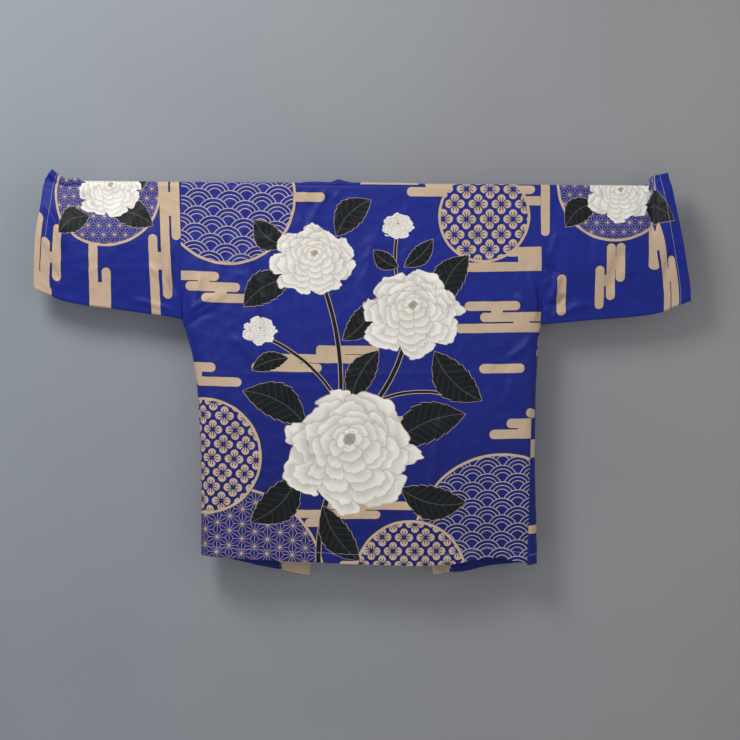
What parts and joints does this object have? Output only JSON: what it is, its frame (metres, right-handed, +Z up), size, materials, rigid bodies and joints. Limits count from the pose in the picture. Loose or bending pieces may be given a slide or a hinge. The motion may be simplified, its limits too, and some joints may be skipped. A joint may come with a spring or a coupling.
{
  "type": "haori on a rod",
  "caption": "Hip-length haori in blue cloth printed with tan roundels, cloud bars and pale blossoms, hanging flat on a straight rod that runs through its sleeves.",
  "frame": {"origin": "on the rod's axis at the garment's centre back, where the rod carries the cloth (mount rod_hold)", "axes": "+X along the rod, to the right as one looks at the back; +Z up; the back hangs on the -Y side of the rod and the fronts on the +Y side"},
  "size_m": [1.3175, 0.0821, 0.8202],
  "materials": {
    "printed_cloth": "smooth plain-woven polyester with a soft sheen, printed blue, tan, black and cream on one side",
    "collar_cloth": "the same printed polyester, blue with tan cloud bars and tan at both ends, folded into a band",
    "rod_wood": "plain sanded dowel"
  },
  "bodies": {
    "root": {"back": "printed_cloth", "front_left": "printed_cloth", "front_right": "printed_cloth", "sleeve_left": "printed_cloth", "sleeve_right": "printed_cloth", "collar": "collar_cloth", "rod": "rod_wood"}
  },
  "joints": []
}
